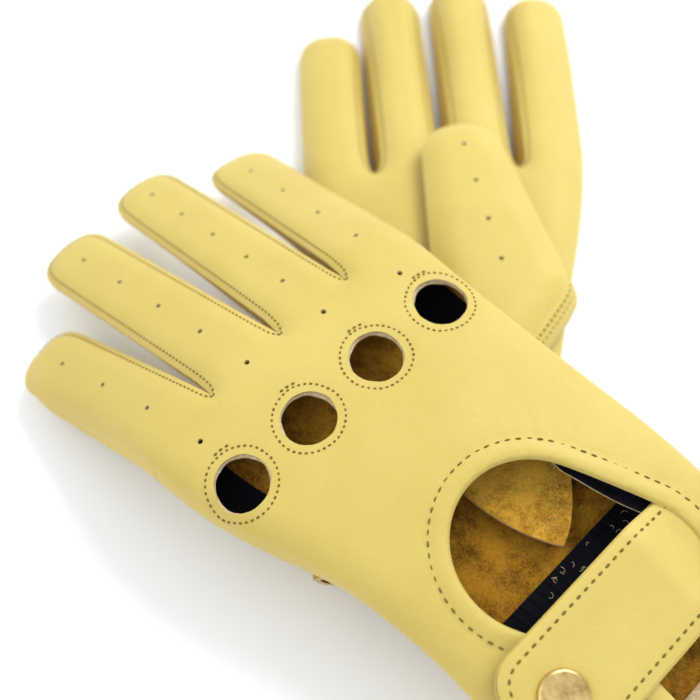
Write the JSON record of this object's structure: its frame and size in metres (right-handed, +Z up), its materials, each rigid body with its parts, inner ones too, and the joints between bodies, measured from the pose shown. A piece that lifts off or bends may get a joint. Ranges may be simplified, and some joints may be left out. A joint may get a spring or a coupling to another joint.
{
  "type": "leather driving gloves",
  "caption": "Leather driving gloves as a pair: the right palm up, the left across it, with open knuckles, a vented back and a wrist strap.",
  "frame": {"origin": "on the table, under the middle of the right glove's knuckle line", "axes": "+Y towards the right glove's fingertips, +X towards its thumb side, +Z up"},
  "size_m": [0.2033, 0.2958, 0.0485],
  "materials": {
    "back_leather": "smooth dull grain, pale yellow",
    "palm_leather": "smooth dull grain, pale yellow",
    "side_wall_leather": "smooth, deeper yellow",
    "facing_leather": "suede flesh side with pale cut edges",
    "strap_leather": "smooth dull grain, pale yellow",
    "thread": "matt twisted thread",
    "elastic": "matt ribbed elastic",
    "tape": "matt ribbed tape",
    "brass": "polished"
  },
  "bodies": {
    "right_hand": {"right_hand_back": "back_leather", "right_hand_palm": "palm_leather", "right_knuckle_facings": "facing_leather", "right_knuckle_stitching": "thread", "right_vent_binding": "facing_leather", "right_vent_stitching": "thread", "right_cuff_hem": "facing_leather", "right_wrist_elastic": "elastic", "right_side_tapes": "tape", "right_snap_stud": "brass", "right_thumb_base": "back_leather"},
    "right_little_finger": {"right_little_back": "back_leather", "right_little_palm": "palm_leather", "right_little_side_walls": "side_wall_leather"},
    "right_ring_finger": {"right_ring_back": "back_leather", "right_ring_palm": "palm_leather", "right_ring_side_walls": "side_wall_leather"},
    "right_middle_finger": {"right_middle_back": "back_leather", "right_middle_palm": "palm_leather", "right_middle_side_walls": "side_wall_leather"},
    "right_index_finger": {"right_index_back": "back_leather", "right_index_palm": "palm_leather", "right_index_side_walls": "side_wall_leather"},
    "right_thumb": {"right_thumb_back": "back_leather", "right_thumb_front": "palm_leather", "right_thumb_side_wall": "side_wall_leather"},
    "right_strap": {"right_strap_leather": "strap_leather", "right_strap_lining": "strap_leather", "right_strap_stitching": "thread", "right_snap_cap": "brass"},
    "left_hand": {"left_hand_back": "back_leather", "left_hand_palm": "palm_leather", "left_knuckle_facings": "facing_leather", "left_knuckle_stitching": "thread", "left_vent_binding": "facing_leather", "left_vent_stitching": "thread", "left_cuff_hem": "facing_leather", "left_wrist_elastic": "elastic", "left_side_tapes": "tape", "left_snap_stud": "brass", "left_thumb_base": "back_leather"},
    "left_little_finger": {"left_little_back": "back_leather", "left_little_palm": "palm_leather", "left_little_side_walls": "side_wall_leather"},
    "left_ring_finger": {"left_ring_back": "back_leather", "left_ring_palm": "palm_leather", "left_ring_side_walls": "side_wall_leather"},
    "left_middle_finger": {"left_middle_back": "back_leather", "left_middle_palm": "palm_leather", "left_middle_side_walls": "side_wall_leather"},
    "left_index_finger": {"left_index_back": "back_leather", "left_index_palm": "palm_leather", "left_index_side_walls": "side_wall_leather"},
    "left_thumb": {"left_thumb_back": "back_leather", "left_thumb_front": "palm_leather", "left_thumb_side_wall": "side_wall_leather"},
    "left_strap": {"left_strap_leather": "strap_leather", "left_strap_lining": "strap_leather", "left_strap_stitching": "thread", "left_snap_cap": "brass"}
  },
  "joints": [
    {"name": "right_little_bend", "type": "hinge", "parent": "right_hand", "child": "right_little_finger", "pos_m": [-0.0342, 0.034, 0.015], "axis": [1, 0, 0], "range_deg": [0, 80]},
    {"name": "right_ring_bend", "type": "hinge", "parent": "right_hand", "child": "right_ring_finger", "pos_m": [-0.0115, 0.034, 0.015], "axis": [1, 0, 0], "range_deg": [0, 80]},
    {"name": "right_middle_bend", "type": "hinge", "parent": "right_hand", "child": "right_middle_finger", "pos_m": [0.0115, 0.034, 0.015], "axis": [1, 0, 0], "range_deg": [0, 80]},
    {"name": "right_index_bend", "type": "hinge", "parent": "right_hand", "child": "right_index_finger", "pos_m": [0.034, 0.034, 0.015], "axis": [1, 0, 0], "range_deg": [0, 80]},
    {"name": "right_thumb_swing", "type": "hinge", "parent": "right_hand", "child": "right_thumb", "pos_m": [0.012, -0.044, 0.0195], "axis": [0, 0, 1], "range_deg": [-45, 0]},
    {"name": "right_strap_open", "type": "hinge", "parent": "right_hand", "child": "right_strap", "pos_m": [0.0125, -0.084, 0.0021], "axis": [0, -1, 0], "range_deg": [0, 110]},
    {"name": "left_little_bend", "type": "hinge", "parent": "left_hand", "child": "left_little_finger", "pos_m": [-0.08005, -0.08092, 0.04081], "axis": [0.749, 0.6543, 0.1045], "range_deg": [0, 40]},
    {"name": "left_ring_bend", "type": "hinge", "parent": "left_hand", "child": "left_ring_finger", "pos_m": [-0.06282, -0.06587, 0.04322], "axis": [0.749, 0.6543, 0.1045], "range_deg": [0, 40]},
    {"name": "left_middle_bend", "type": "hinge", "parent": "left_hand", "child": "left_middle_finger", "pos_m": [-0.04545, -0.05069, 0.04564], "axis": [0.749, 0.6543, 0.1045], "range_deg": [0, 40]},
    {"name": "left_index_bend", "type": "hinge", "parent": "left_hand", "child": "left_index_finger", "pos_m": [-0.02822, -0.03564, 0.04804], "axis": [0.749, 0.6543, 0.1045], "range_deg": [0, 40]},
    {"name": "left_thumb_swing", "type": "hinge", "parent": "left_hand", "child": "left_thumb", "pos_m": [0.0241, -0.08995, 0.02179], "axis": [-0.0613, -0.0885, 0.9942], "range_deg": [-18, 0]},
    {"name": "left_strap_open", "type": "hinge", "parent": "left_hand", "child": "left_strap", "pos_m": [0.04231, -0.11711, 0.03745], "axis": [-0.6471, 0.6883, 0.3279], "range_deg": [0, 110]},
    {"name": "left_glove_lift", "type": "slide", "parent": "right_hand", "child": "left_hand", "axis": [0, 0, 1], "range_m": [0, 0.12]}
  ]
}
